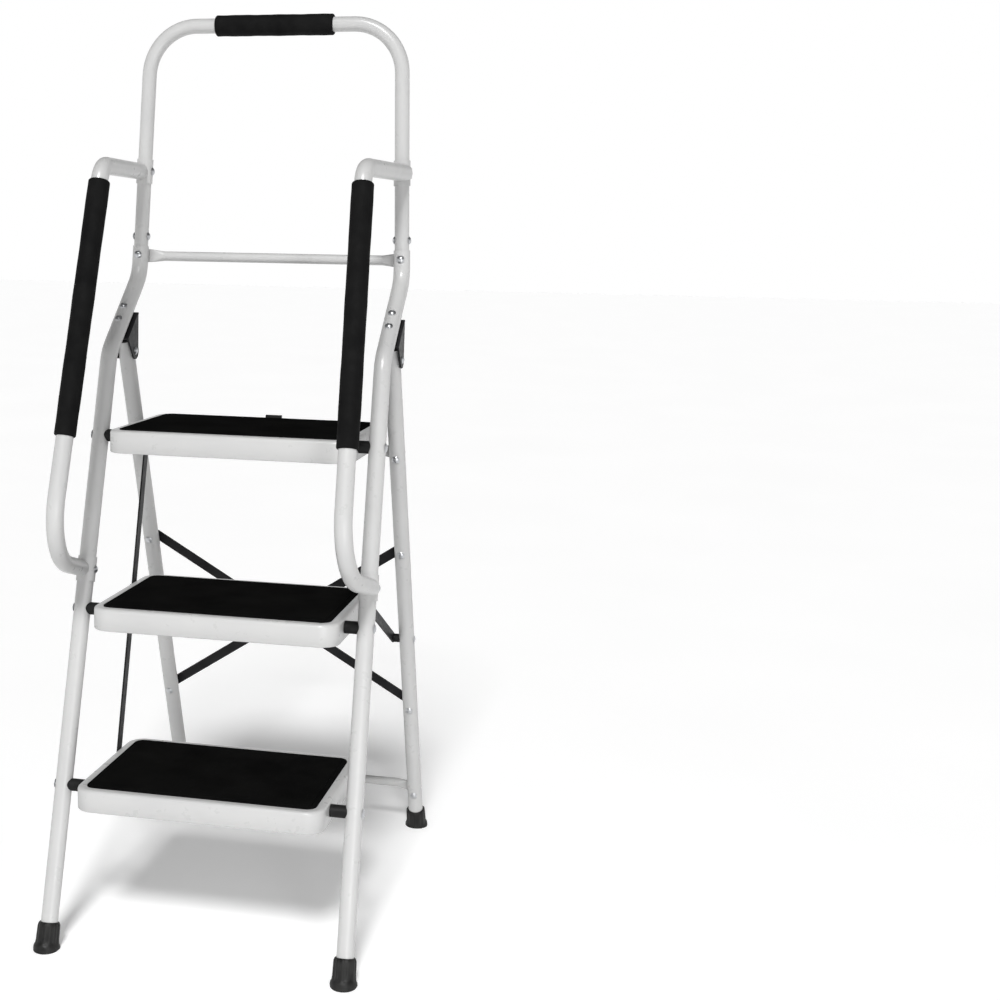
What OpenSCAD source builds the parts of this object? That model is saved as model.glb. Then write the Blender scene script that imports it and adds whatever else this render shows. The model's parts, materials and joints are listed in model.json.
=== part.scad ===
// Folding step stool with three treads, a top handle and two side handrails.
// Millimetres. X is across, +Y is to the back, +Z is up. The origin is on the floor,
// in the middle of the standing stool. The stool is drawn open.

/* [Front frame] */
// Half the distance between the front feet
foot_x = 222; // [220:1:226]
// Half the distance between the front tubes at the lower bend
bend_x = 209.5; // [209:0.5:212]
// Half the distance between the handle's uprights at the top
handle_x = 196; // [194:1:200]
// Distance from the front feet to the rear feet
base_depth = 634; // [630:1:640]
// Height of the handle's centreline
handle_z = 1340; // [1320:1:1350]
// Height of the seam between the front tubes and the handle
seam_z = 1008; // [1000:1:1015]
// Height of the upper front crossbar
crossbar_z = 994; // [990:1:996]

/* [Tubes] */
// Outside diameter of the front tubes, rear legs and handrails
tube_d = 25; // [24:0.5:26]
// Wall of all tubes
wall = 1.2; // [1:0.1:1.5]
// Outside diameter of the handle's tube
handle_d = 22; // [21:0.5:23]
// Diameter of the round crossbars
bar_d = 15; // [14:0.5:16]
// Outside diameter of the foam grips
foam_d = 31; // [30:0.5:33]

/* [Treads] */
// Height of the lowest tread's axle
first_axle_z = 230; // [226:1:234]
// Rise from one tread to the next
rise = 250; // [246:1:250]
// Width of a tread
tread_w = 368; // [364:1:370]
// Reach of a tread in front of its axle
tread_front = 55; // [50:1:56]
// Reach of a tread behind its axle
tread_back = 198; // [196:1:199]
// Height of a tread's skirt
skirt = 33; // [30:1:34]
// Distance from a tread's axle to its rear link pin
link_reach = 140; // [139:1:141]

/* [Fold] */
// Swing of the rear frame when the stool is folded
rear_swing = 36; // [35:1:36]
// Swing of the treads when the stool is folded
tread_swing = 60; // [59:1:61]

/* [Hidden] */
$fn = 48;

PAINT = [0.90, 0.90, 0.89];
BLACK = [0.07, 0.07, 0.07];
ZINC = [0.72, 0.73, 0.75];

half = base_depth / 2;
tube_r = tube_d / 2;
run_gap = 0.05;                 // radial clearance of a pin that turns in a hole
bolt_r = 3;
axle_r = 4;

// right front tube: foot, lower bend, upper bend, top of the spigot
foot = [foot_x, -half, 0];
bend_low = [bend_x, 244 - half, 852];
bend_high = [bend_x, 379 - half, 964];
handle_top = [handle_x, 404 - half, handle_z];
bend_radius = 50;
handle_corner = 75;
spigot_len = 60;
spigot_d = handle_d - 2 * wall - 0.2;

function unit(v) = v / norm(v);
function on_line(a, b, z) = a + (b - a) * (z - a[2]) / (b[2] - a[2]);
function on_leg(z) = on_line(foot, bend_low, z);
function on_upright(z) = on_line(bend_high, handle_top, z);
seam = on_upright(seam_z);

// treads
axle_z = [first_axle_z, first_axle_z + rise, first_axle_z + 2 * rise];
function axle(i) = [0, on_leg(axle_z[i])[1], axle_z[i]];
pan_top = 14;                   // above the axle
sheet = 1.5;
mat_thick = 2.5;
mat_border = 15;
corner_r = 28;

// rear frame, laid out along its legs from the hinge down
hinge = [bend_x, 0, 849];
lean = atan((half - hinge[1]) / hinge[2]);
leg_len = hinge[2] / cos(lean);
rear_splay = 5;
tab_step = tube_r + 0.1;         // from a leg's axis to a flat part bolted behind it
function rear_s(z, step) = (hinge[2] + step * sin(lean) - z) / cos(lean);
upper_bar_s = rear_s(703, tab_step + bar_d / 2);
brace_upper_s = rear_s(539, tab_step);
brace_lower_s = rear_s(250, tab_step);
lower_bar_s = rear_s(79, tab_step + bar_d / 2);
function leg_x(s) = hinge[0] + rear_splay * s / leg_len;

// fold linkage: the fold link fits both when the stool is open and when it is folded
function turn(v, a) = [v[0] * cos(a) - v[1] * sin(a), v[0] * sin(a) + v[1] * cos(a)];
hinge_yz = [hinge[1], hinge[2]];
mid_yz = [axle(1)[1], axle(1)[2]];
open_end = mid_yz + [link_reach, 0];
shut_end = mid_yz + turn([link_reach, 0], tread_swing);
down_open = [sin(lean), -cos(lean)];
down_shut = turn(down_open, -rear_swing);
to_open = hinge_yz - open_end;
to_shut = hinge_yz - shut_end;
fold_s = (to_open * to_open - to_shut * to_shut) / (2 * (to_shut * down_shut - to_open * down_open));
fold_yz = hinge_yz + fold_s * down_open;

// layers beside the treads, as distances from the middle of the stool
side_x = tread_w / 2;
tread_link_x = side_x + 0.6;
fold_link_x = side_x + 4.2;
link_thick = 2.5;
link_w = 16;

// ---------- shared shapes ----------

module side(s) {
    if (s > 0) children();
    else mirror([1, 0, 0]) children();
}

module along(a, b) {
    d = b - a;
    translate(a) rotate([0, acos(d[2] / norm(d)), atan2(d[1], d[0])]) children();
}

module ring(od, id) {
    difference() {
        circle(d = od);
        if (id > 0) circle(d = id);
    }
}

function turn_at(p, i) = acos(unit(p[i] - p[i - 1]) * unit(p[i + 1] - p[i]));
function radius_at(r, i) = is_list(r) ? r[i - 1] : r;
function trim(p, r, i) = i == 0 || i == len(p) - 1 ? 0 : radius_at(r, i) * tan(turn_at(p, i) / 2);

// a tube along the points p, bent at each inner point with the radius r, or with the radii in r;
// a short inner sleeve at each end of a bend joins it to the straight stretch
sleeve = 1.5;
sleeve_step = 0.6;
sleeve_gap = 0.03;

module pipe(p, r, od, id) {
    for (i = [0 : len(p) - 2]) {
        d = unit(p[i + 1] - p[i]);
        first = i == 0;
        last = i == len(p) - 2;
        a = p[i] + d * (trim(p, r, i) + (first ? 0 : sleeve_gap));
        b = p[i + 1] - d * (trim(p, r, i + 1) + (last ? 0 : sleeve_gap));
        along(a, b) linear_extrude(norm(b - a)) ring(od, id);
        for (end = [if (!first) a, if (!last) b]) along(end - d * sleeve, end)
            linear_extrude(2 * sleeve) ring((od + id) / 2, id - sleeve_step);
    }
    for (i = [1 : 1 : len(p) - 2]) {
        u = unit(p[i] - p[i - 1]);
        v = unit(p[i + 1] - p[i]);
        n = unit(v - u * (u * v));
        w = cross(-n, u);
        c = p[i] - u * trim(p, r, i) + n * radius_at(r, i);
        multmatrix([
            [-n[0], u[0], w[0], c[0]],
            [-n[1], u[1], w[1], c[1]],
            [-n[2], u[2], w[2], c[2]],
        ]) rotate_extrude(angle = turn_at(p, i)) translate([radius_at(r, i), 0]) ring(od, id);
    }
}

// a bolt or rivet along +Z from 0 to grip, with a domed head at each end
module bolt(grip, r = bolt_r, head_r = 6, head_h = 3) {
    cylinder(r = r, h = grip);
    translate([0, 0, grip]) dome(head_r, head_h);
    mirror([0, 0, 1]) dome(head_r, head_h);
}

module dome(r, h) {
    ball = (r * r + h * h) / (2 * h);
    rotate_extrude() intersection() {
        translate([0, h - ball]) circle(r = ball, $fn = 96);
        square([r, h]);
    }
}

module bolt_x(at, grip, r = bolt_r) {
    translate(at - [grip / 2, 0, 0]) rotate([0, 90, 0]) bolt(grip, r);
}

module hole_x(at, r) {
    translate(at) rotate([0, 90, 0]) cylinder(r = r, h = 90, center = true);
}

// a flat bar in the YZ plane from a to b, with a hole at each distance in holes
module flat_bar(a, b, x, holes, hole_r) {
    d = unit(b - a);
    length = norm(b - a);
    multmatrix([
        [0, 0, 1, x],
        [d[0], -d[1], 0, a[0]],
        [d[1], d[0], 0, a[1]],
    ]) linear_extrude(link_thick) difference() {
        union() {
            translate([0, -link_w / 2]) square([length, link_w]);
            circle(d = link_w);
            translate([length, 0]) circle(d = link_w);
        }
        for (h = holes) translate([h, 0]) circle(r = hole_r);
    }
}

// a crossbar along X, round in the middle and flattened at its bolted ends;
// +Z of this shape points away from the tubes that it is bolted to
bar_tab = 3;                     // thickness of a crossbar's flattened ends

module crossbar(end_x) {
    tab = 26;
    blend = 20;
    difference() {
        union() {
            translate([0, 0, bar_d / 2]) rotate([0, 90, 0])
                cylinder(d = bar_d, h = 2 * (end_x - tab / 2 - blend), center = true);
            for (s = [-1, 1]) side(s) {
                hull() {
                    translate([end_x - tab / 2 - blend, 0, bar_d / 2]) rotate([0, 90, 0])
                        cylinder(d = bar_d, h = 0.1, $fn = 32);
                    translate([end_x - tab / 2, -10, 0]) cube([0.1, 20, bar_tab]);
                }
                translate([end_x - tab / 2, -10, 0]) cube([tab / 2, 20, bar_tab]);
                translate([end_x, 0, 0]) cylinder(r = 10, h = bar_tab);
            }
        }
        for (s = [-1, 1]) translate([s * end_x, 0, -1]) cylinder(r = bolt_r + run_gap, h = 20);
    }
}

// a rubber cap on the end of a tube that comes down to p from the point up
module rubber_foot(p, up) {
    difference() {
        along(p, up) difference() {
            union() {
                translate([0, 0, -12]) cylinder(d = 39, h = 20);
                translate([0, 0, 8]) cylinder(d1 = 39, d2 = 32, h = 6);
                translate([0, 0, 14]) cylinder(d = 32, h = 25);
            }
            translate([0, 0, 7]) cylinder(d = tube_d + 0.1, h = 60);
        }
        translate(p - [50, 50, 100]) cube([100, 100, 100]);
    }
}

// ---------- front frame ----------

bracket_bolts = [0.345, 0.506];    // along the slope, as parts of its length
function on_slope(t) = bend_low + (bend_high - bend_low) * t;
slope_tilt = atan2(bend_high[2] - bend_low[2], bend_high[1] - bend_low[1]);
flange_t = 2.5;
rail_top_z = 1122;
rail_low_z = 536;
handle_bolt_z = seam_z + 15;
bar_at = on_upright(crossbar_z);
upright_tilt = atan2(handle_top[1] - bend_high[1], handle_top[2] - bend_high[2]);

// X across, Z out of the back of the uprights at the crossbar
module on_bar() {
    translate([0, bar_at[1], bar_at[2]]) rotate([-90 - upright_tilt, 0, 0]) children();
}

module front_tube(s) {
    d = unit(foot - bend_low);
    up = unit(handle_top - bend_high);
    color(PAINT) side(s) difference() {
        union() {
            pipe([foot - d * 8, bend_low, bend_high, seam], bend_radius, tube_d, tube_d - 2 * wall);
            along(seam - up * 4, seam) linear_extrude(3) ring(tube_d - wall, spigot_d - 2 * wall - 0.4);
            along(seam - up * 2, seam) linear_extrude(spigot_len + 2) ring(spigot_d, spigot_d - 2 * wall);
        }
        for (z = axle_z) hole_x(on_leg(z), axle_r + run_gap);
        hole_x(on_leg(rail_low_z), bolt_r + run_gap);
        hole_x(on_upright(handle_bolt_z), bolt_r + run_gap);
        on_bar() translate([bar_at[0], 0, 0]) cylinder(r = bolt_r + run_gap, h = 60, center = true);
        for (t = bracket_bolts) translate(on_slope(t)) rotate([slope_tilt, 0, 0])
            cylinder(r = bolt_r + run_gap, h = 60, center = true);
    }
}

module front_tube_left() { front_tube(-1); }
module front_tube_right() { front_tube(1); }

module handle_tube() {
    mirrored = [[-1, 0, 0], [0, 1, 0], [0, 0, 1]];
    color(PAINT) difference() {
        pipe([seam, handle_top, mirrored * handle_top, mirrored * seam],
             handle_corner, handle_d, handle_d - 2 * wall);
        for (s = [-1, 1]) side(s) {
            hole_x(on_upright(handle_bolt_z), bolt_r + run_gap);
            hole_x(on_upright(rail_top_z), bolt_r + run_gap);
        }
    }
}

module handle_grip() {
    grip_len = 184;
    color(BLACK) translate([0, handle_top[1], handle_top[2]]) rotate([0, 90, 0])
        translate([0, 0, -grip_len / 2]) linear_extrude(grip_len) ring(foam_d, handle_d);
}

module front_crossbar() {
    color(PAINT) on_bar() translate([0, 0, tab_step]) crossbar(bar_at[0]);
}

// ---------- handrails ----------

rail_radii = [32, 86];
rail_out = 5;                    // the rail's ends sit this far outboard of the tubes' axes
bolt_room = 6.8;                 // radius of the notch round a bolt's head
saddle_h = 37;
saddle_t = 1.6;
rail_bend_high = [191, 171 - half, rail_top_z];
rail_bend_low = [207, -6 - half, 582];
grip_low_z = 747;

module handrail(s) {
    top = on_upright(rail_top_z);
    low = on_leg(rail_low_z);
    out = [rail_out, 0, 0];
    color(PAINT) side(s) difference() {
        pipe([top + out, rail_bend_high, rail_bend_low, low + out], rail_radii, tube_d, tube_d - 2 * wall);
        for (at = [top, low]) hole_x(at, bolt_room);
        along(top - unit(handle_top - bend_high) * 40, handle_top)
            cylinder(r = tube_r + 1.3, h = 80);
        along(low - unit(bend_low - foot) * 60, bend_low)
            cylinder(r = tube_r + saddle_t + 0.1, h = 120);
    }
}

module handrail_left() { handrail(-1); }
module handrail_right() { handrail(1); }

// a half sleeve round the front of a tube, on the line from a towards b
module saddle(a, b, r) {
    along(a, b) translate([0, 0, -saddle_h / 2]) linear_extrude(saddle_h) difference() {
        circle(r = r + saddle_t);
        circle(r = r);
        rotate(-atan2((b - a)[1], (b - a)[0])) translate([-50, r * 0.35]) square([100, 50]);
    }
}

module rail_saddles() {
    color(PAINT) for (s = [-1, 1]) side(s) difference() {
        union() {
            saddle(on_upright(rail_top_z), handle_top, handle_d / 2 + 0.05);
            saddle(on_leg(rail_low_z), bend_low, tube_r + 0.05);
        }
        hole_x(on_upright(rail_top_z), bolt_r + run_gap);
        hole_x(on_leg(rail_low_z), bolt_r + run_gap);
    }
}

module rail_grip(s) {
    points = [on_upright(rail_top_z) + [rail_out, 0, 0], rail_bend_high, rail_bend_low];
    down = unit(rail_bend_low - rail_bend_high);
    start = rail_bend_high + down * trim(points, rail_radii, 1);
    end = on_line(rail_bend_high, rail_bend_low, grip_low_z);
    color(BLACK) side(s) along(start, end) linear_extrude(norm(end - start)) ring(foam_d, tube_d);
}

module rail_grip_left() { rail_grip(-1); }
module rail_grip_right() { rail_grip(1); }

// ---------- hinges ----------

cheek_gap = tube_r + 0.4;

module hinge_bracket(s) {
    drop = tube_r + 0.1;
    a = on_slope(0.24);
    b = on_slope(0.58);
    away = [0, sin(slope_tilt), -cos(slope_tilt)];
    color(BLACK) side(s) difference() {
        union() {
            for (e = [-1, 1]) translate([hinge[0] + e * (cheek_gap + flange_t / 2), 0, 0])
                rotate([90, 0, 90]) translate([0, 0, -flange_t / 2]) linear_extrude(flange_t) {
                    polygon([
                        [(a + away * drop)[1], (a + away * drop)[2]],
                        [(b + away * drop)[1], (b + away * drop)[2]],
                        [hinge[1] + 12, hinge[2] + 5],
                        [hinge[1] - 11, hinge[2] - 6],
                    ]);
                    translate([hinge[1], hinge[2]]) circle(r = 13);
                }
            translate([hinge[0], a[1], a[2]]) rotate([slope_tilt, 0, 0])
                translate([-cheek_gap - flange_t, 0, -drop - flange_t])
                cube([2 * (cheek_gap + flange_t), norm(b - a), flange_t]);
        }
        hole_x(hinge, axle_r + run_gap);
        for (t = bracket_bolts) translate(on_slope(t)) rotate([slope_tilt, 0, 0])
            cylinder(r = bolt_r + run_gap, h = 60, center = true);
    }
}

module hinge_bracket_left() { hinge_bracket(-1); }
module hinge_bracket_right() { hinge_bracket(1); }

module hinge_pins() {
    color(ZINC) for (s = [-1, 1]) side(s) bolt_x(hinge, 2 * (cheek_gap + flange_t) + 0.2, axle_r);
}

// ---------- tread axles, spacers, front feet, fasteners ----------

module tread_axles() {
    head_h = 2.5;
    color(ZINC) for (s = [-1, 1], z = axle_z) side(s) {
        inner = side_x - sheet - 0.3;
        outer = on_leg(z)[0] + tube_r;
        translate([inner, on_leg(z)[1], z]) rotate([0, 90, 0]) bolt(outer - inner, axle_r, 7, head_h);
    }
}

module tread_spacers() {
    color(BLACK) for (s = [-1, 1], z = axle_z) side(s) difference() {
        translate([side_x + 0.3, on_leg(z)[1], z]) rotate([0, 90, 0])
            cylinder(d = 18.5, h = on_leg(z)[0] - side_x - 2);
        along(foot, bend_low) cylinder(r = tube_r + 0.05, h = norm(bend_low - foot));
        hole_x(on_leg(z), axle_r + run_gap);
    }
}

module front_foot(s) {
    color(BLACK) side(s) rubber_foot(foot, bend_low);
}

module front_foot_left() { front_foot(-1); }
module front_foot_right() { front_foot(1); }

module frame_bolts() {
    color(ZINC) for (s = [-1, 1]) side(s) {
        bolt_x(on_upright(handle_bolt_z), handle_d + 0.6);
        bolt_x(on_upright(rail_top_z), handle_d + 2 * saddle_t + 0.8);
        bolt_x(on_leg(rail_low_z), tube_d + 2 * saddle_t + 0.8);
        on_bar() translate([bar_at[0], 0, -tab_step]) bolt(2 * tab_step + bar_tab + 0.1);
        for (t = bracket_bolts) translate(on_slope(t)) rotate([slope_tilt, 0, 0])
            translate([0, 0, -tube_r - 0.2 - flange_t]) bolt(tube_d + 0.2 + flange_t);
    }
}

// ---------- rear frame ----------

// X across, Y down along the legs from the hinge, Z out of the back of the legs
module on_rear() {
    translate([0, hinge[1], hinge[2]]) rotate([lean - 90, 0, 0]) children();
}

rear_top_s = -18;
fold_pin_r = 3.5;
function rear_point(s) = [leg_x(s), hinge[1] + s * sin(lean), hinge[2] - s * cos(lean)];

module rear_leg(s) {
    color(PAINT) side(s) difference() {
        along(rear_point(leg_len - 8), rear_point(rear_top_s))
            linear_extrude(norm(rear_point(leg_len - 8) - rear_point(rear_top_s)))
            ring(tube_d, tube_d - 2 * wall);
        hole_x(hinge, axle_r + run_gap);
        hole_x(rear_point(fold_s), fold_pin_r + run_gap);
        on_rear() for (q = [upper_bar_s, brace_upper_s, brace_lower_s, lower_bar_s])
            translate([leg_x(q), q, 0]) cylinder(r = bolt_r + run_gap, h = 60, center = true);
    }
}

module rear_leg_left() { rear_leg(-1); }
module rear_leg_right() { rear_leg(1); }

module rear_leg_inserts() {
    color(BLACK) for (s = [-1, 1]) side(s) difference() {
        union() {
            along(rear_point(rear_top_s), rear_point(rear_top_s - 2)) cylinder(d = tube_d, h = 2);
            along(rear_point(12), rear_point(rear_top_s))
                cylinder(d = tube_d - 2 * wall - 0.1, h = 12 - rear_top_s);
        }
        hole_x(hinge, axle_r + run_gap);
    }
}

module rear_crossbar(s) {
    color(PAINT) on_rear() translate([0, s, tab_step]) crossbar(leg_x(s));
}

module rear_upper_crossbar() { rear_crossbar(upper_bar_s); }
module rear_lower_crossbar() { rear_crossbar(lower_bar_s); }

// one flat brace from the upper left to the lower right, at a height z off the legs
module brace(z) {
    a = [-leg_x(brace_upper_s), brace_upper_s];
    b = [leg_x(brace_lower_s), brace_lower_s];
    middle = norm(b - a) * leg_x(brace_upper_s) / (leg_x(brace_upper_s) + leg_x(brace_lower_s));
    translate([a[0], a[1], z]) rotate(atan2((b - a)[1], (b - a)[0]))
        linear_extrude(link_thick) difference() {
            union() {
                translate([0, -link_w / 2]) square([norm(b - a), link_w]);
                circle(d = link_w);
                translate([norm(b - a), 0]) circle(d = link_w);
            }
            for (q = [0, middle, norm(b - a)]) translate([q, 0]) circle(r = bolt_r + run_gap);
        }
}

brace_front_z = tab_step;
brace_back_z = brace_front_z + link_thick + 0.1;

module brace_bar_front() { color(BLACK) on_rear() brace(brace_front_z); }
module brace_bar_back() { color(BLACK) on_rear() mirror([1, 0, 0]) brace(brace_back_z); }

module rear_foot(s) {
    color(BLACK) side(s) rubber_foot(rear_point(leg_len), rear_point(0));
}

module rear_foot_left() { rear_foot(-1); }
module rear_foot_right() { rear_foot(1); }

module rear_bolts() {
    cross_s = brace_upper_s + (brace_lower_s - brace_upper_s)
        * leg_x(brace_upper_s) / (leg_x(brace_upper_s) + leg_x(brace_lower_s));
    color(ZINC) on_rear() {
        for (s = [-1, 1]) {
            for (q = [upper_bar_s, lower_bar_s])
                translate([s * leg_x(q), q, -tube_r]) bolt(tube_d + 3.2);
            translate([s * leg_x(brace_upper_s), brace_upper_s, -tube_r])
                bolt(tube_r + (s < 0 ? brace_front_z : brace_back_z) + link_thick);
            translate([s * leg_x(brace_lower_s), brace_lower_s, -tube_r])
                bolt(tube_r + (s > 0 ? brace_front_z : brace_back_z) + link_thick);
        }
        translate([0, cross_s, brace_front_z]) bolt(brace_back_z + link_thick - brace_front_z, bolt_r, 6, 2.5);
    }
}

module fold_link_pins() {
    color(ZINC) for (s = [-1, 1]) side(s) {
        inner = fold_link_x - 0.2;
        outer = rear_point(fold_s)[0] + tube_r;
        translate([inner, fold_yz[0], fold_yz[1]]) rotate([0, 90, 0]) bolt(outer - inner, fold_pin_r, 6, 2);
    }
}

module fold_link_spacers() {
    color(BLACK) for (s = [-1, 1]) side(s) difference() {
        translate([fold_link_x + link_thick + 0.2, fold_yz[0], fold_yz[1]]) rotate([0, 90, 0])
            cylinder(d = 14, h = rear_point(fold_s)[0] - fold_link_x - link_thick);
        along(rear_point(leg_len), rear_point(0)) cylinder(r = tube_r + 0.05, h = leg_len);
        hole_x(rear_point(fold_s), fold_pin_r + run_gap);
    }
}

// ---------- treads ----------

module rounded(w, front, back, r) {
    translate([-w / 2 + r, -front]) square([w - 2 * r, front + back]);
    translate([-w / 2, -front + r]) square([w, front + back - 2 * r]);
    for (x = [-1, 1], y = [-front + r, back - r]) translate([x * (w / 2 - r), y]) circle(r = r);
}

module tread_pan(i) {
    color(PAINT) translate(axle(i)) difference() {
        translate([0, 0, pan_top - skirt]) linear_extrude(skirt)
            rounded(tread_w, tread_front, tread_back, corner_r);
        translate([0, 0, pan_top - skirt - 1]) linear_extrude(skirt + 1 - sheet)
            rounded(tread_w - 2 * sheet, tread_front - sheet, tread_back - sheet, corner_r - sheet);
        for (s = [-1, 1]) {
            hole_x([s * side_x, 0, 0], axle_r + run_gap);
            hole_x([s * side_x, link_reach, 0], bolt_r + run_gap);
        }
    }
}

module tread_pan_low() { tread_pan(0); }
module tread_pan_mid() { tread_pan(1); }
module tread_pan_top() { tread_pan(2); }

module tread_mat(i) {
    color(BLACK) translate(axle(i) + [0, 0, pan_top]) linear_extrude(mat_thick)
        rounded(tread_w - 2 * mat_border, tread_front - mat_border, tread_back - mat_border,
                corner_r - mat_border / 2);
}

module tread_mat_low() { tread_mat(0); }
module tread_mat_mid() { tread_mat(1); }
module tread_mat_top() { tread_mat(2); }

// pins that carry the tread links: head inside the skirt, flat rivet on the link
module tread_pins(i) {
    color(ZINC) translate(axle(i)) for (s = [-1, 1]) side(s)
        translate([side_x - sheet, link_reach, 0]) rotate([0, 90, 0])
            bolt(tread_link_x + link_thick + 0.1 - side_x + sheet, bolt_r, 6, 0.8);
}

module tread_pins_low() { tread_pins(0); }
module tread_pins_mid() { tread_pins(1); }
module tread_pins_top() { tread_pins(2); }

// ---------- links ----------

module tread_link(s) {
    low = [axle(0)[1] + link_reach, axle(0)[2]];
    top = [axle(2)[1] + link_reach, axle(2)[2]];
    span = norm(top - low);
    color(BLACK) side(s) flat_bar(low, top, tread_link_x, [0, span / 2, span], bolt_r + run_gap);
}

module tread_link_left() { tread_link(-1); }
module tread_link_right() { tread_link(1); }

module fold_link(s) {
    color(BLACK) side(s) flat_bar(fold_yz, open_end, fold_link_x, [0], fold_pin_r + run_gap);
}

module fold_link_left() { fold_link(-1); }
module fold_link_right() { fold_link(1); }

// ---------- latch ----------

latch_back = 8.5;                // from the rear skirt to the latch's pin
latch_at = axle(2) + [0, tread_back + latch_back, -8];
latch_w = 26;

module latch() {
    color(BLACK) difference() {
        translate(latch_at - [latch_w / 2, 0, 0]) rotate([90, 0, 90]) linear_extrude(latch_w) {
            circle(r = 4.5);
            translate([-3.5, -28]) square([8, 28]);
            polygon([[-3, 0], [4.5, 0], [9, 24], [4, 24]]);
        }
        hole_x(latch_at, 2 + run_gap);
    }
}

// the pin and the two ears that carry it on the rear skirt
module latch_pin() {
    color(ZINC) {
        translate(latch_at) rotate([0, 90, 0]) cylinder(r = 2, h = 36, center = true);
        for (s = [-1, 1]) translate(latch_at + [s * 16 - 1.5, 0.1 - latch_back, -4])
            cube([3, latch_back + 3, 8]);
    }
}

front_tube_left();
front_tube_right();
handle_tube();
handle_grip();
front_crossbar();
handrail_left();
handrail_right();
rail_saddles();
rail_grip_left();
rail_grip_right();
hinge_bracket_left();
hinge_bracket_right();
hinge_pins();
tread_axles();
tread_spacers();
front_foot_left();
front_foot_right();
frame_bolts();
rear_leg_left();
rear_leg_right();
rear_leg_inserts();
rear_upper_crossbar();
rear_lower_crossbar();
brace_bar_front();
brace_bar_back();
rear_foot_left();
rear_foot_right();
rear_bolts();
fold_link_pins();
fold_link_spacers();
tread_pan_low();
tread_pan_mid();
tread_pan_top();
tread_mat_low();
tread_mat_mid();
tread_mat_top();
tread_pins_low();
tread_pins_mid();
tread_pins_top();
tread_link_left();
tread_link_right();
fold_link_left();
fold_link_right();
latch();
latch_pin();
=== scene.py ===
import json
import math

import bpy
import numpy as np
from mathutils import Matrix, Vector


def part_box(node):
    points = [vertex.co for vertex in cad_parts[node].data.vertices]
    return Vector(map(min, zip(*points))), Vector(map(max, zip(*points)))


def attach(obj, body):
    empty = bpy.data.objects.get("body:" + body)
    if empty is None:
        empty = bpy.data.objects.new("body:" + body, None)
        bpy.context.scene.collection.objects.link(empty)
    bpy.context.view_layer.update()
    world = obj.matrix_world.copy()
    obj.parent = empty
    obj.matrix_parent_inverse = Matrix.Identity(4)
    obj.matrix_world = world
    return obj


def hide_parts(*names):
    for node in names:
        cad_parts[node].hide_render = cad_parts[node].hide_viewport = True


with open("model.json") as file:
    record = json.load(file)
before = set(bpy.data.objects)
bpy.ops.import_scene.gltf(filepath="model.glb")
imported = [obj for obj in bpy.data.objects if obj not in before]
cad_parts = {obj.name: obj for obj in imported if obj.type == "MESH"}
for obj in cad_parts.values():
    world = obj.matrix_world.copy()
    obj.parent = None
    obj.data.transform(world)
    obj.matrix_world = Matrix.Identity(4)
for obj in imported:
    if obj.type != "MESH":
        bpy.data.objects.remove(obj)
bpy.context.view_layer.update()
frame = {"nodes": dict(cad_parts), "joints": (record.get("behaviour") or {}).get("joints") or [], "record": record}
NODES = frame["nodes"]
SCENE = bpy.context.scene
SIDES = ("left", "right")
LEVELS = ("low", "mid", "top")


# ---------------------------------------------------------------- camera

CAMERA_AT = Vector((0.6450, -2.3104, 1.0259))
CAMERA_AZIMUTH, CAMERA_ELEVATION, CAMERA_ROLL = 13.191, 10.854, 0.945
FOCAL = 1.5709          # focal length as a multiple of the picture's width
SHIFT = (0.18, 0.0385)  # of the picture's middle off the optical axis, in picture widths
SENSOR_MM = 36
FAR_CLIP = 200


def add_camera():
    a, e, r = (math.radians(v) for v in (CAMERA_AZIMUTH, CAMERA_ELEVATION, CAMERA_ROLL))
    back = Vector((math.sin(a) * math.cos(e), -math.cos(a) * math.cos(e), math.sin(e)))
    level_right = Vector((math.cos(a), math.sin(a), 0))
    level_up = back.cross(level_right)
    right = level_right * math.cos(r) + level_up * math.sin(r)
    up = level_up * math.cos(r) - level_right * math.sin(r)
    data = bpy.data.cameras.new("camera")
    data.sensor_width = SENSOR_MM
    data.lens = SENSOR_MM * FOCAL
    data.shift_x, data.shift_y = SHIFT
    data.clip_end = FAR_CLIP
    camera = bpy.data.objects.new("camera", data)
    SCENE.collection.objects.link(camera)
    turn = Matrix((right, up, back)).transposed()
    camera.matrix_world = Matrix.Translation(CAMERA_AT) @ turn.to_4x4()
    SCENE.camera = camera


# ---------------------------------------------------------------- materials

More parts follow.
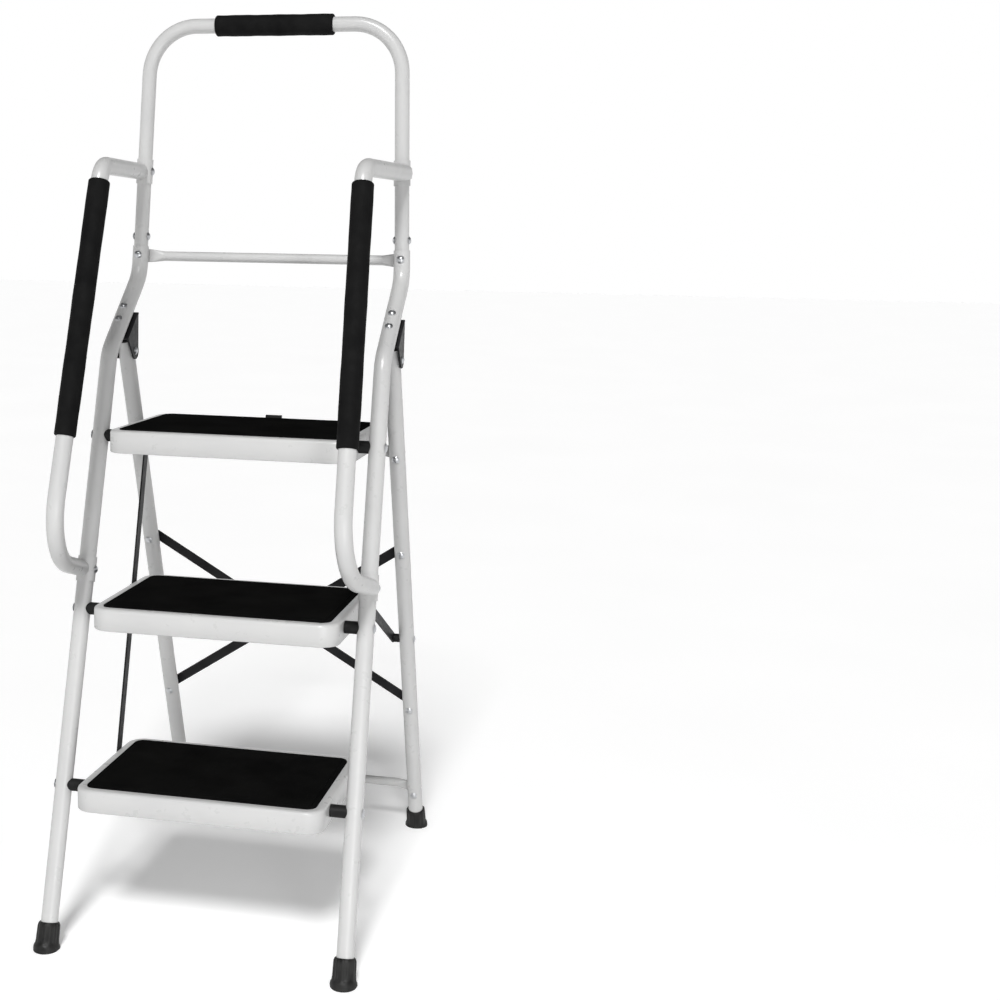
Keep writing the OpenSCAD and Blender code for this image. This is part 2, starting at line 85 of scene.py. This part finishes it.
class Shader:
    """A Principled material with a few helpers for procedural detail."""

    def __init__(self, name, **inputs):
        self.material = bpy.data.materials.new(name)
        self.material.use_nodes = True
        self.tree = self.material.node_tree
        self.principled = self.tree.nodes["Principled BSDF"]
        for key, value in inputs.items():
            self.principled.inputs[key.replace("_", " ")].default_value = value
        self.place = self.tree.nodes.new("ShaderNodeTexCoord").outputs["Object"]

    def node(self, kind, **values):
        node = self.tree.nodes.new(kind)
        for key, value in values.items():
            if key in node.inputs.keys():
                node.inputs[key].default_value = value
            else:
                setattr(node, key, value)
        return node

    def link(self, out, to):
        self.tree.links.new(out, to)

    def stretched(self, scale):
        mapping = self.node("ShaderNodeMapping")
        mapping.inputs["Scale"].default_value = scale
        self.link(self.place, mapping.inputs["Vector"])
        return mapping.outputs["Vector"]

    def noise(self, scale, detail=3.0, roughness=0.55, vector=None):
        node = self.node("ShaderNodeTexNoise", Scale=scale, Detail=detail, Roughness=roughness)
        self.link(vector or self.place, node.inputs["Vector"])
        return node.outputs["Fac"]

    def ramp(self, value, stops):
        node = self.node("ShaderNodeValToRGB")
        elements = node.color_ramp.elements
        while len(elements) < len(stops):
            elements.new(0.5)
        for element, (at, colour) in zip(elements, stops):
            element.position = at
            element.color = (*colour, 1)
        self.link(value, node.inputs["Fac"])
        return node.outputs["Color"]

    def spread(self, value, low, high, start=0.3, end=0.7):
        node = self.node("ShaderNodeMapRange")
        for key, number in (("From Min", start), ("From Max", end), ("To Min", low), ("To Max", high)):
            node.inputs[key].default_value = number
        self.link(value, node.inputs["Value"])
        return node.outputs["Result"]

    def math(self, operation, a, b=None):
        node = self.node("ShaderNodeMath", operation=operation)
        for socket, value in zip(node.inputs, (a, b)):
            if value is None:
                continue
            if isinstance(value, (int, float)):
                socket.default_value = value
            else:
                self.link(value, socket)
        return node.outputs[0]

    def colour(self, out):
        self.link(out, self.principled.inputs["Base Color"])

    def roughness(self, out):
        self.link(out, self.principled.inputs["Roughness"])

    def bump(self, *layers):
        """Each layer is (height, distance in metres, strength)."""
        normal = None
        for height, distance, strength in layers:
            node = self.node("ShaderNodeBump", Distance=distance, Strength=strength)
            self.link(height, node.inputs["Height"])
            if normal is not None:
                self.link(normal, node.inputs["Normal"])
            normal = node.outputs["Normal"]
        self.link(normal, self.principled.inputs["Normal"])


def powder_coat():
    s = Shader("powder_coat", Coat_Weight=0.12, Coat_Roughness=0.15, IOR=1.45)
    cloud = s.noise(9.0, 4.0)
    s.colour(s.ramp(cloud, [(0.25, (0.455, 0.455, 0.455)), (0.75, (0.495, 0.495, 0.49))]))
    s.roughness(s.spread(s.noise(60.0, 3.0), 0.26, 0.38))
    s.bump((s.noise(520.0, 2.0), 0.0002, 0.10), (s.noise(2600.0, 1.0), 0.00005, 0.12))
    return s.material


def black_coat():
    s = Shader("black_coat", Specular_IOR_Level=0.12)
    s.colour(s.ramp(s.noise(25.0, 4.0), [(0.3, (0.008, 0.008, 0.009)), (0.7, (0.018, 0.018, 0.019))]))
    s.roughness(s.spread(s.noise(120.0, 3.0), 0.32, 0.5))
    s.bump((s.noise(900.0, 2.0), 0.0002, 0.15))
    return s.material


def black_plastic():
    s = Shader("black_plastic", Specular_IOR_Level=0.12)
    s.colour(s.ramp(s.noise(40.0, 3.0), [(0.3, (0.008, 0.008, 0.008)), (0.7, (0.016, 0.016, 0.016))]))
    s.roughness(s.spread(s.noise(200.0, 3.0), 0.38, 0.55))
    s.bump((s.noise(1500.0, 2.0), 0.0002, 0.2))
    return s.material


def foot_rubber():
    s = Shader("foot_rubber", Specular_IOR_Level=0.22)
    dust = s.noise(70.0, 5.0)
    s.colour(s.ramp(dust, [(0.35, (0.007, 0.007, 0.007)), (0.8, (0.022, 0.022, 0.021))]))
    s.roughness(s.spread(dust, 0.38, 0.62))
    s.bump((s.noise(800.0, 3.0), 0.0003, 0.2))
    return s.material


def grip_foam():
    s = Shader("grip_foam", Specular_IOR_Level=0.06)
    s.colour(s.ramp(s.noise(30.0, 5.0), [(0.3, (0.004, 0.004, 0.0042)), (0.75, (0.0085, 0.0085, 0.0085))]))
    pores = s.node("ShaderNodeTexVoronoi", Scale=900.0)
    s.link(s.place, pores.inputs["Vector"])
    s.roughness(s.spread(s.noise(90.0, 4.0), 0.62, 0.82))
    s.bump((s.noise(160.0, 3.0), 0.0006, 0.18), (pores.outputs["Distance"], 0.0004, 0.35))
    return s.material


def mat_rubber():
    s = Shader("mat_rubber", Specular_IOR_Level=0.0)
    s.colour(s.ramp(s.noise(14.0, 5.0), [(0.3, (0.004, 0.004, 0.004)), (0.75, (0.0075, 0.0075, 0.0072))]))
    s.roughness(s.spread(s.noise(60.0, 4.0), 0.52, 0.74))
    split = s.node("ShaderNodeSeparateXYZ")
    s.link(s.place, split.inputs[0])
    across, along = split.outputs[0], split.outputs[1]
    stud_pitch = 0.0042
    weave = []
    for diagonal in (s.math("ADD", across, along), s.math("SUBTRACT", across, along)):
        weave.append(s.math("SINE", s.math("MULTIPLY", diagonal, 2 * math.pi / stud_pitch)))
    studs = s.math("MULTIPLY", *weave)
    s.bump((studs, 0.0005, 0.45), (s.noise(1400.0, 2.0), 0.0002, 0.2))
    return s.material


def zinc():
    s = Shader("zinc", Metallic=1.0)
    grain = s.noise(40.0, 5.0, vector=s.stretched((60, 8, 8)))
    s.colour(s.ramp(grain, [(0.3, (0.42, 0.43, 0.44)), (0.7, (0.60, 0.61, 0.63))]))
    s.roughness(s.spread(grain, 0.24, 0.42))
    s.bump((grain, 0.0001, 0.12))
    return s.material


def studio_floor():
    s = Shader("studio_floor", Emission_Color=(1, 1, 1, 1), Emission_Strength=0.20, Specular_IOR_Level=0.0)
    s.colour(s.ramp(s.noise(1.5, 2.0), [(0.3, (0.93, 0.93, 0.93)), (0.7, (0.95, 0.95, 0.95))]))
    s.roughness(s.spread(s.noise(4.0, 2.0), 0.75, 0.85))
    return s.material


# ---------------------------------------------------------------- mesh helpers

def piece(name, vertices, faces, material, body, sharp=32):
    mesh = bpy.data.meshes.new(name)
    mesh.from_pydata([tuple(v) for v in vertices], [], faces)
    mesh.validate()
    mesh.shade_smooth()
    mesh.set_sharp_from_angle(angle=math.radians(sharp))
    obj = bpy.data.objects.new(name, mesh)
    SCENE.collection.objects.link(obj)
    mesh.materials.append(material)
    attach(obj, body)
    return obj


def bands(rings, count, closed=False):
    """Faces between rings of count points each; closed joins the last ring to the first."""
    faces = []
    for r in range(rings if closed else rings - 1):
        a, b = r * count, ((r + 1) % rings) * count
        for i in range(count):
            j = (i + 1) % count
            faces.append((a + i, a + j, b + j, b + i))
    return faces


def rounded_ring(width, front, back, corner, inset, z, steps=14):
    """A rounded rectangle in plan, counter-clockwise, drawn inset from its outline."""
    r = max(corner - inset, 0.0015)
    x, y0, y1 = width / 2 - inset - r, -front + inset + r, back - inset - r
    ring = []
    for cx, cy, start in ((x, y1, 0), (-x, y1, 90), (-x, y0, 180), (x, y0, 270)):
        for k in range(steps + 1):
            a = math.radians(start + 90 * k / steps)
            ring.append((cx + r * math.cos(a), cy + r * math.sin(a), z))
    return ring


def arc(cx, cy, r, start, end, steps):
    return [(cx + r * math.cos(math.radians(start + (end - start) * k / steps)),
             cy + r * math.sin(math.radians(start + (end - start) * k / steps))) for k in range(steps + 1)]


def axis_of(node):
    """Middle, direction, half length and outer radius of a straight CAD tube, from its own mesh."""
    co = np.array([v.co for v in NODES[node].data.vertices], float)
    co = np.unique(co.round(6), axis=0)
    middle = (co.min(0) + co.max(0)) / 2
    _, _, rows = np.linalg.svd(co - co.mean(0), full_matrices=False)
    direction = rows[0] if rows[0][np.argmax(np.abs(rows[0]))] > 0 else -rows[0]
    along = (co - middle) @ direction
    radius = np.linalg.norm((co - middle) - np.outer(along, direction), axis=1).max()
    return Vector(middle), Vector(direction), (along.max() - along.min()) / 2, radius


def basis(direction):
    side = direction.cross(Vector((0, 0, 1)) if abs(direction.z) < 0.9 else Vector((1, 0, 0))).normalized()
    return side, direction.cross(side).normalized()


def turned(profile, origin, direction, count, shape=None):
    """Rings round an axis: profile is (distance along, radius); shape(angle, k) scales ring k's radius."""
    u, v = basis(direction)
    vertices = []
    for k, (s, r) in enumerate(profile):
        for i in range(count):
            a = 2 * math.pi * i / count
            f = r * (shape(a, k) if shape else 1.0)
            vertices.append(origin + direction * s + (u * math.cos(a) + v * math.sin(a)) * f)
    return vertices


# ---------------------------------------------------------------- pieces

RAIL_FOAM, HANDLE_FOAM = 0.0031, 0.0045      # wall thickness of the foam grips
TREAD_CORNER = 0.028
FRONT_PIN_Z, REAR_PIN_Z = 0.230, 0.250       # lowest tread axle, and lower brace bolt
PIN_REACH = 0.0065                           # height either side of a pin that its hole takes in


def foam_grip(node, body, material):
    middle, direction, half, radius = axis_of(node)
    bore = radius - (HANDLE_FOAM if node == "handle_grip" else RAIL_FOAM)
    edge, around, steps = 0.0028, 64, 40
    outside = [(half - edge + s, radius - edge + r) for s, r in arc(0, 0, edge, 0, 90, 6)]
    lip = [(half - 0.0004, bore + 0.0002), (half, bore + 0.0012)]
    profile = lip + outside
    for k in range(1, steps):
        t = 1 - 2 * k / steps
        ripple = 0.00018 * math.sin(9.1 * t + 0.7) + 0.00010 * math.sin(23.7 * t)
        profile.append(((half - edge) * t, radius + ripple))
    profile += [(-s, r) for s, r in (lip + outside)[::-1]]
    vertices = turned(profile, middle, direction, around)
    faces = bands(len(profile), around, closed=True)
    obj = piece("foam_" + node, vertices, faces, material, body, sharp=50)
    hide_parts(node)


def tread_sizes(level):
    """A tread's axle, its width, and how far its pan reaches in front, behind, below and above that."""
    lo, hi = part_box("tread_pan_" + level)
    pivot = next(j["pos_m"] for j in frame["joints"] if j["name"] == "tread_%s_fold" % level)
    at = Vector((0, pivot[1], pivot[2]))
    return at, hi.x - lo.x, at.y - lo.y, hi.y - at.y, lo.z - at.z, hi.z - at.z


def shell(rings, at):
    """Vertices and faces of a stack of rings round at, closed at both ends."""
    count = len(rings[0])
    vertices = [Vector(p) + at for ring in rings for p in ring]
    faces = bands(len(rings), count)
    faces.append(tuple(range(count))[::-1])
    faces.append(tuple(range((len(rings) - 1) * count, len(rings) * count)))
    return vertices, faces


def tread_pan(level, material):
    at, width, front, back, low, high = tread_sizes(level)
    sheet, edge, inner_edge = 0.0015, 0.0055, 0.003
    rim, bed = 0.0105, 0.0137                # insets of the rim and of the bed that holds the mat
    # underside of the top sheet, down the inside of the skirt, round the rolled hem
    profile = [(sheet + 0.006, high - sheet - 0.001)]
    profile += [(sheet + inner_edge - x, high - sheet - 0.004 + y)
                for x, y in arc(0, 0, inner_edge, 90, 0, 4)]
    profile += [(sheet, low + 0.004), (sheet + 0.0012, low + 0.0032), (sheet + 0.0012, low + 0.0010),
                (sheet + 0.0006, low + 0.0002), (0.0008, low), (0.0001, low + 0.0008)]
    # outside of the skirt, the drawn edge, the rim and the bed
    profile += [(0.0, high - edge - 0.006), (0.0, high - edge)]
    profile += [(edge - x, high - edge + y) for x, y in arc(0, 0, edge, 0, 90, 10)][1:]
    profile += [(rim, high + 0.0002), (rim + 0.0020, high), (bed - 0.0004, high - 0.0004),
                (bed, high - 0.0014), (0.020, high - 0.0015)]
    rings = [rounded_ring(width, front, back, TREAD_CORNER, inset, z) for inset, z in profile]
    vertices, faces = shell(rings, at)
    obj = piece("pressed_tread_" + level, vertices, faces, material, "tread_" + level,
                sharp=60)
    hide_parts("tread_pan_" + level)


def tread_mat(level, material):
    at, width, front, back, _, high = tread_sizes(level)
    border, edge = 0.0140, 0.0010
    groove = 0.0205                          # inset of the shallow groove round the mat
    top = high + 0.0012
    profile = [(border, high - 0.0013), (border, top - edge)]
    profile += [(border + edge - x, top - edge + y) for x, y in arc(0, 0, edge, 0, 90, 5)][1:]
    profile += [(groove, top), (groove + 0.0006, top - 0.0006), (groove + 0.0016, top - 0.0007),
                (groove + 0.0022, top), (0.030, top)]
    rings = [rounded_ring(width, front, back, TREAD_CORNER, inset, z) for inset, z in profile]
    vertices, faces = shell(rings, at)
    obj = piece("ribbed_mat_" + level, vertices, faces, material, "tread_" + level, sharp=40)
    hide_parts("tread_mat_" + level)


def ring_middle(node, z, reach):
    """Middle of the CAD vertices of a node that lie within reach of the height z."""
    co = np.array([v.co for v in NODES[node].data.vertices], float)
    near = co[np.abs(co[:, 2] - z) < reach]
    return Vector((near.min(0) + near.max(0)) / 2)


def rubber_foot(node, tube, pin_z, body, material):
    """A fluted cap with a flared, domed sole, along its tube and cut off level at the floor."""
    foot_co = np.array([v.co for v in NODES[node].data.vertices], float)
    sole = foot_co[foot_co[:, 2] < 0.0002]
    base = Vector((sole.min(0) + sole.max(0)) / 2)
    direction = (ring_middle(tube, pin_z, PIN_REACH) - base).normalized()
    count, flutes, flute_depth = 144, 12, 0.040
    fluted = range(5, 11)                    # rings of the profile between the flange and the top edge
    profile = [(-0.016, 0.0172), (-0.008, 0.0186), (0.0015, 0.0196), (0.0055, 0.0192), (0.0078, 0.0178),
               (0.0098, 0.0170), (0.013, 0.0167), (0.022, 0.0165), (0.032, 0.0162), (0.0350, 0.0160),
               (0.0375, 0.0150), (0.0390, 0.0136), (0.0385, 0.0127), (0.010, 0.0127)]

    def flute(angle, k):
        if k not in fluted:
            return 1.0
        wave = math.cos(flutes * angle)
        return 1.0 + flute_depth * max(-0.6, min(0.6, wave))

    vertices = turned(profile, base, direction, count, flute)
    vertices = [Vector((v.x, v.y, max(v.z, 0.0))) for v in vertices]
    faces = bands(len(profile), count)
    faces.append(tuple(range(count))[::-1])
    obj = piece("fluted_" + node, vertices, faces, material, body, sharp=50)
    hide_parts(node)


# ---------------------------------------------------------------- stage

def add_stage(material):
    half = 30.0
    mesh = bpy.data.meshes.new("studio_floor")
    corners = [(-half, -half, 0), (half, -half, 0), (half, half, 0), (-half, half, 0)]
    mesh.from_pydata(corners, [], [(0, 1, 2, 3)])
    mesh.materials.append(material)
    floor = bpy.data.objects.new("studio_floor", mesh)
    SCENE.collection.objects.link(floor)


def add_sun(towards_light, strength, angle):
    data = bpy.data.lights.new("soft_sun", "SUN")
    data.energy = strength
    data.angle = math.radians(angle)
    sun = bpy.data.objects.new("soft_sun", data)
    SCENE.collection.objects.link(sun)
    sun.rotation_euler = Vector(towards_light).to_track_quat("Z", "Y").to_euler()


def add_softbox(at, towards, width, height, power):
    data = bpy.data.lights.new("softbox", "AREA")
    data.shape = "RECTANGLE"
    data.size, data.size_y = width, height
    data.energy = power
    box = bpy.data.objects.new("softbox", data)
    SCENE.collection.objects.link(box)
    box.location = at
    box.rotation_euler = (Vector(at) - Vector(towards)).to_track_quat("Z", "Y").to_euler()


def add_world(overhead, horizon, strength):
    """A white studio: bright round the horizon, dimmer overhead."""
    world = bpy.data.worlds.new("studio")
    world.use_nodes = True
    tree = world.node_tree
    background = tree.nodes["Background"]
    background.inputs["Strength"].default_value = strength
    place = tree.nodes.new("ShaderNodeTexCoord")
    split = tree.nodes.new("ShaderNodeSeparateXYZ")
    ramp = tree.nodes.new("ShaderNodeValToRGB")
    bright_up_to, dim_from = 0.17, 0.32
    stops = ramp.color_ramp.elements
    stops[0].position, stops[0].color = bright_up_to, (horizon, horizon, horizon, 1)
    stops[1].position, stops[1].color = dim_from, (overhead, overhead, overhead, 1)
    tree.links.new(place.outputs["Generated"], split.inputs[0])
    tree.links.new(split.outputs[2], ramp.inputs["Fac"])
    tree.links.new(ramp.outputs["Color"], background.inputs["Color"])
    SCENE.world = world


# ---------------------------------------------------------------- build

add_camera()
add_stage(studio_floor())
add_world(overhead=0.14, horizon=1.0, strength=1.0)
add_sun((0.10, -0.95, 1.0), strength=2.75, angle=12)
add_softbox((1.25, -2.3, 0.45), (0.1, -0.2, 0.4), 0.35, 1.2, 16)
SCENE.view_settings.view_transform = "Standard"

LOOKS = {"white_paint": powder_coat(), "black_paint": black_coat(), "black_plastic": black_plastic(),
         "rubber_foot": foot_rubber(), "foam": grip_foam(), "rubber_mat": mat_rubber(), "zinc": zinc()}
for part in frame["record"]["subparts"]:
    node = NODES[part["node"]]
    for slot in node.material_slots:
        slot.material = LOOKS[part["material_slot"]]

for level in LEVELS:
    tread_pan(level, LOOKS["white_paint"])
    tread_mat(level, LOOKS["rubber_mat"])
foam_grip("handle_grip", "front_frame", LOOKS["foam"])
for side in SIDES:
    foam_grip("rail_grip_" + side, "front_frame", LOOKS["foam"])
    rubber_foot("front_foot_" + side, "front_tube_" + side, FRONT_PIN_Z, "front_frame", LOOKS["rubber_foot"])
    rubber_foot("rear_foot_" + side, "rear_leg_" + side, REAR_PIN_Z, "rear_frame", LOOKS["rubber_foot"])
